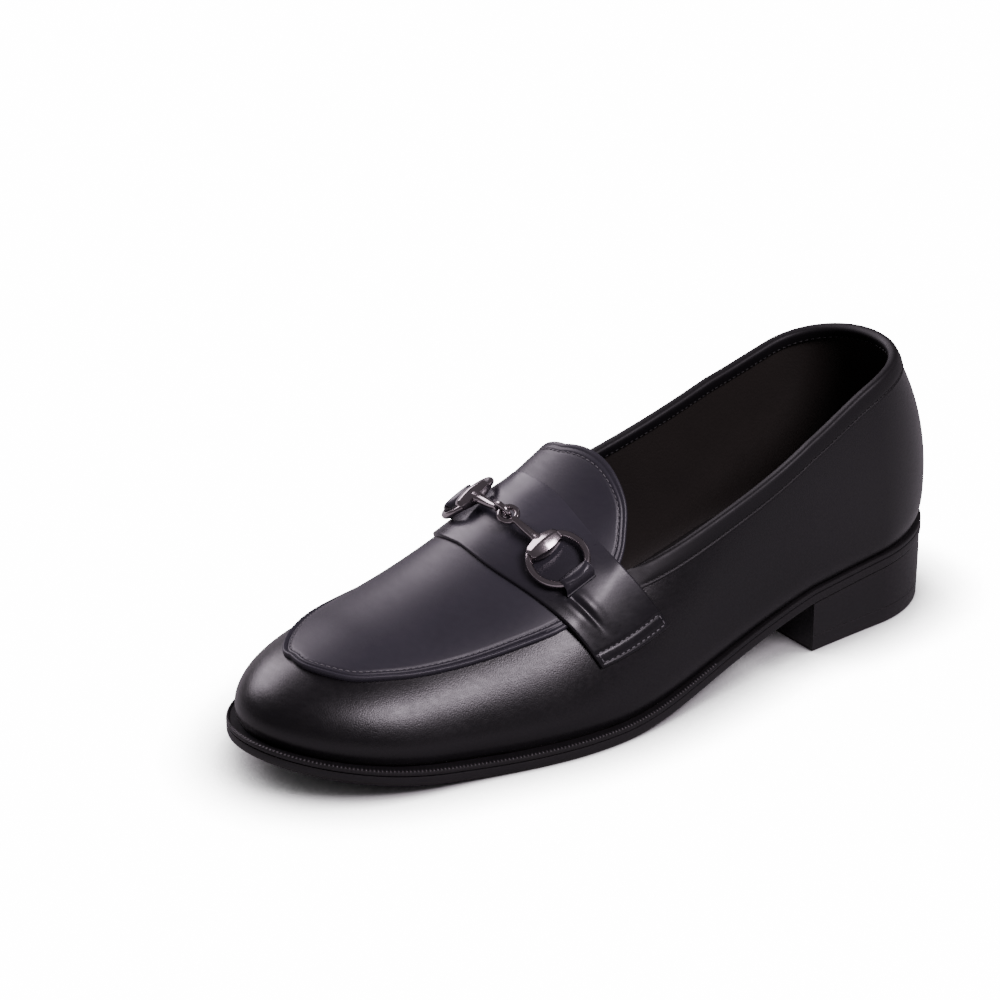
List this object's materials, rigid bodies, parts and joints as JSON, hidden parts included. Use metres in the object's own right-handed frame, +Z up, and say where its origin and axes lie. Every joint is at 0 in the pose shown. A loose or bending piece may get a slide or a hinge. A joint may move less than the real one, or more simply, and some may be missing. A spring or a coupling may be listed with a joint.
{
  "type": "bit loafer",
  "caption": "Left leather slip-on dress shoe with a raised apron and tongue, a saddle strap that carries a snaffle-style metal bit, a thin welted sole and a low block heel.",
  "frame": {"origin": "under the middle of the whole shoe's box, on the ground that heel and forefoot stand on", "axes": "+X from heel to toe, +Y to the outer side of the left foot, +Z up"},
  "size_m": [0.3024, 0.1112, 0.102],
  "materials": {
    "upper_calf": "black calf with a fine grain and a soft gloss",
    "strap_calf": "smooth black calf, polished",
    "sole_leather": "black edge ink, satin",
    "heel_rubber": "black, dull",
    "lining_leather": "near-black lining leather, matte",
    "dark_nickel": "polished dark nickel plate"
  },
  "bodies": {
    "root": {"outsole": "sole_leather", "heel": "heel_rubber", "welt": "sole_leather", "insole": "lining_leather", "upper": "upper_calf", "apron_tongue": "upper_calf", "strap": "strap_calf", "topline_binding": "upper_calf", "back_stay": "upper_calf", "bit_outer_half": "dark_nickel", "bit_inner_half": "dark_nickel", "ring_loop_outer": "strap_calf", "ring_loop_inner": "strap_calf"}
  },
  "joints": []
}
